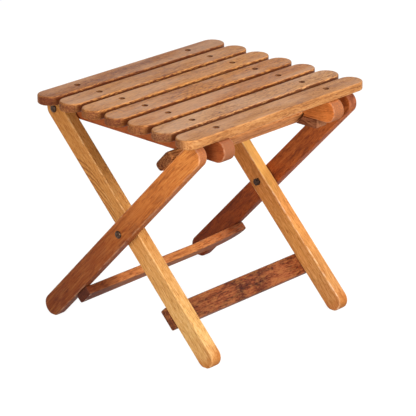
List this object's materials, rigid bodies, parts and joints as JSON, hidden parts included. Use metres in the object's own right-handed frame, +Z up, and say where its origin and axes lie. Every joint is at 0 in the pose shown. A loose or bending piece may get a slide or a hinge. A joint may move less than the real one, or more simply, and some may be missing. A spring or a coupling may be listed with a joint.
{
  "type": "folding stool",
  "caption": "Folding wooden stool: two crossed pairs of legs and a slatted seat that hinges at the back and hooks over a front rail.",
  "frame": {"origin": "on the floor, under the middle of the stool's bounding box", "axes": "+X along the slats to the stool's right seen from its front, +Y from the front to the seat hinge at the back, +Z up"},
  "size_m": [0.475, 0.4207, 0.443],
  "materials": {
    "slat_wood": "worn satin varnish on hardwood slats",
    "bearer_wood": "satin varnish",
    "light_wood": "golden satin varnish",
    "dark_wood": "red-brown satin varnish",
    "rail_wood": "worn brown varnish, scuffed",
    "block_wood": "bare weathered wood",
    "steel": "blackened"
  },
  "bodies": {
    "inner_frame": {"inner_leg_left": "light_wood", "inner_leg_right": "light_wood", "inner_lower_stretcher": "rail_wood", "inner_lower_stretcher_screw_left_high": "steel", "inner_lower_stretcher_screw_left_low": "steel", "inner_lower_stretcher_screw_right_high": "steel", "inner_lower_stretcher_screw_right_low": "steel", "leg_pivot_washer_left": "steel", "leg_pivot_washer_right": "steel", "seat_pivot_bolt_left": "steel", "seat_pivot_bolt_right": "steel", "seat_pivot_nut_left": "steel", "seat_pivot_nut_right": "steel", "seat_pivot_washer_left": "steel", "seat_pivot_washer_right": "steel"},
    "outer_frame": {"leg_pivot_bolt_left": "steel", "leg_pivot_bolt_right": "steel", "leg_pivot_nut_left": "steel", "leg_pivot_nut_right": "steel", "outer_front_rail": "rail_wood", "outer_front_rail_screw_left_high": "steel", "outer_front_rail_screw_left_low": "steel", "outer_front_rail_screw_right_high": "steel", "outer_front_rail_screw_right_low": "steel", "outer_leg_left": "dark_wood", "outer_leg_right": "dark_wood", "outer_lower_stretcher": "dark_wood", "outer_lower_stretcher_screw_left_high": "steel", "outer_lower_stretcher_screw_left_low": "steel", "outer_lower_stretcher_screw_right_nose": "steel"},
    "seat": {"rail_stop_block": "block_wood", "seat_bearer_left": "bearer_wood", "seat_bearer_right": "bearer_wood", "seat_slat_1": "slat_wood", "seat_slat_2": "slat_wood", "seat_slat_3": "slat_wood", "seat_slat_4": "slat_wood", "seat_slat_5": "slat_wood", "seat_slat_6": "slat_wood", "seat_slat_7": "slat_wood", "slat_screw_1_left": "steel", "slat_screw_1_right": "steel", "slat_screw_2_left": "steel", "slat_screw_2_right": "steel", "slat_screw_3_left": "steel", "slat_screw_3_right": "steel", "slat_screw_4_left": "steel", "slat_screw_4_right": "steel", "slat_screw_5_left": "steel", "slat_screw_5_right": "steel", "slat_screw_6_left": "steel", "slat_screw_6_right": "steel", "slat_screw_7_left": "steel", "slat_screw_7_right": "steel", "stop_block_screw_left": "steel", "stop_block_screw_right": "steel"}
  },
  "joints": [
    {"name": "leg_fold", "type": "hinge", "parent": "inner_frame", "child": "outer_frame", "pos_m": [0, 0.0036, 0.212], "axis": [-1, 0, 0], "range_deg": [0, 61]},
    {"name": "seat_hinge", "type": "hinge", "parent": "inner_frame", "child": "seat", "pos_m": [0, 0.1909, 0.4027], "axis": [-1, 0, 0], "range_deg": [0, 67.2]}
  ],
  "couplings": [
    {"joint": "seat_hinge", "follows": "leg_fold", "ratio": 1.1}
  ]
}
